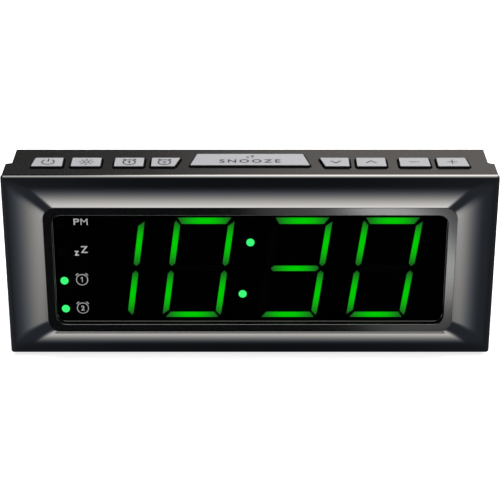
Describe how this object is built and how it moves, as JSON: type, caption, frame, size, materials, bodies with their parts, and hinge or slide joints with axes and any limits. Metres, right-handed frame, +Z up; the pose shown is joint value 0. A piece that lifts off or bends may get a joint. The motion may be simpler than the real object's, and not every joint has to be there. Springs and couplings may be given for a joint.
{
  "type": "clock radio",
  "caption": "Wide clock radio with a tilted green digital display in a hollow dark surround, silver keys along the top, a rear speaker and a battery bay below.",
  "frame": {"origin": "on the table, under the middle of the whole radio", "axes": "+X to the right as the user sees the display, +Y to the back, +Z up; the display faces -Y and leans back 6 degrees"},
  "size_m": [0.2034, 0.08, 0.0816],
  "materials": {
    "gunmetal_gloss": "gloss dark metallic grey, lighter where it catches the light",
    "smoked_acrylic": "polished, so dark that only lit segments show",
    "silver_key": "satin silver with black sides",
    "black_plastic": "fine moulded texture",
    "rubber": "matt",
    "circuit_board": "green solder mask",
    "light_guide": "translucent green",
    "steel": "bright nickel plate",
    "ferrite": "dull dark grey",
    "copper_wire": "enamelled copper winding",
    "paper_cone": "black pressed paper",
    "grey_cable": "flat ribbon"
  },
  "bodies": {
    "case": {"front_bezel": "gunmetal_gloss", "cabinet_shell": "gunmetal_gloss", "display_lens": "smoked_acrylic", "display_reflector": "black_plastic", "segment_light_guide": "light_guide", "display_board": "circuit_board", "key_board": "circuit_board", "main_board": "circuit_board", "bottom_cover": "black_plastic", "negative_plate": "steel", "positive_plate": "steel", "link_plate": "steel", "negative_spring": "steel", "link_spring": "steel", "dc_jack": "black_plastic", "aerial_grommet": "rubber", "ferrite_rod": "ferrite", "aerial_coil": "copper_wire", "display_cable": "grey_cable", "speaker_basket": "steel", "speaker_cone": "paper_cone", "speaker_magnet": "steel", "speaker_screw_left": "steel", "speaker_screw_right": "steel", "foot_front_left": "rubber", "case_screw_front_left": "steel", "foot_front_right": "rubber", "case_screw_front_right": "steel", "foot_rear_left": "rubber", "case_screw_rear_left": "steel", "foot_rear_right": "rubber", "case_screw_rear_right": "steel", "power_switch": "black_plastic", "dimmer_switch": "black_plastic", "alarm_1_switch": "black_plastic", "alarm_2_switch": "black_plastic", "snooze_switch": "black_plastic", "tune_down_switch": "black_plastic", "tune_up_switch": "black_plastic", "volume_down_switch": "black_plastic", "volume_up_switch": "black_plastic"},
    "battery_door": {"battery_door": "black_plastic"},
    "power_key": {"power_button": "silver_key", "power_plunger": "black_plastic"},
    "dimmer_key": {"dimmer_button": "silver_key", "dimmer_plunger": "black_plastic"},
    "alarm_1_key": {"alarm_1_button": "silver_key", "alarm_1_plunger": "black_plastic"},
    "alarm_2_key": {"alarm_2_button": "silver_key", "alarm_2_plunger": "black_plastic"},
    "snooze_key": {"snooze_bar": "silver_key", "snooze_plunger": "black_plastic"},
    "tune_down_key": {"tune_down_button": "silver_key", "tune_down_plunger": "black_plastic"},
    "tune_up_key": {"tune_up_button": "silver_key", "tune_up_plunger": "black_plastic"},
    "volume_down_key": {"volume_down_button": "silver_key", "volume_down_plunger": "black_plastic"},
    "volume_up_key": {"volume_up_button": "silver_key", "volume_up_plunger": "black_plastic"}
  },
  "joints": [
    {"name": "battery_door_pull", "type": "slide", "parent": "case", "child": "battery_door", "axis": [0, 0, -1], "range_m": [0, 0.03]},
    {"name": "power_press", "type": "slide", "parent": "case", "child": "power_key", "axis": [0, 0, -1], "range_m": [0, 0.0005], "stiffness_N_per_m": 200, "springref_m": -0.0005},
    {"name": "dimmer_press", "type": "slide", "parent": "case", "child": "dimmer_key", "axis": [0, 0, -1], "range_m": [0, 0.0005], "stiffness_N_per_m": 200, "springref_m": -0.0005},
    {"name": "alarm_1_press", "type": "slide", "parent": "case", "child": "alarm_1_key", "axis": [0, 0, -1], "range_m": [0, 0.0005], "stiffness_N_per_m": 200, "springref_m": -0.0005},
    {"name": "alarm_2_press", "type": "slide", "parent": "case", "child": "alarm_2_key", "axis": [0, 0, -1], "range_m": [0, 0.0005], "stiffness_N_per_m": 200, "springref_m": -0.0005},
    {"name": "snooze_press", "type": "slide", "parent": "case", "child": "snooze_key", "axis": [0, 0, -1], "range_m": [0, 0.0005], "stiffness_N_per_m": 400, "springref_m": -0.0005},
    {"name": "tune_down_press", "type": "slide", "parent": "case", "child": "tune_down_key", "axis": [0, 0, -1], "range_m": [0, 0.0005], "stiffness_N_per_m": 200, "springref_m": -0.0005},
    {"name": "tune_up_press", "type": "slide", "parent": "case", "child": "tune_up_key", "axis": [0, 0, -1], "range_m": [0, 0.0005], "stiffness_N_per_m": 200, "springref_m": -0.0005},
    {"name": "volume_down_press", "type": "slide", "parent": "case", "child": "volume_down_key", "axis": [0, 0, -1], "range_m": [0, 0.0005], "stiffness_N_per_m": 200, "springref_m": -0.0005},
    {"name": "volume_up_press", "type": "slide", "parent": "case", "child": "volume_up_key", "axis": [0, 0, -1], "range_m": [0, 0.0005], "stiffness_N_per_m": 200, "springref_m": -0.0005}
  ]
}
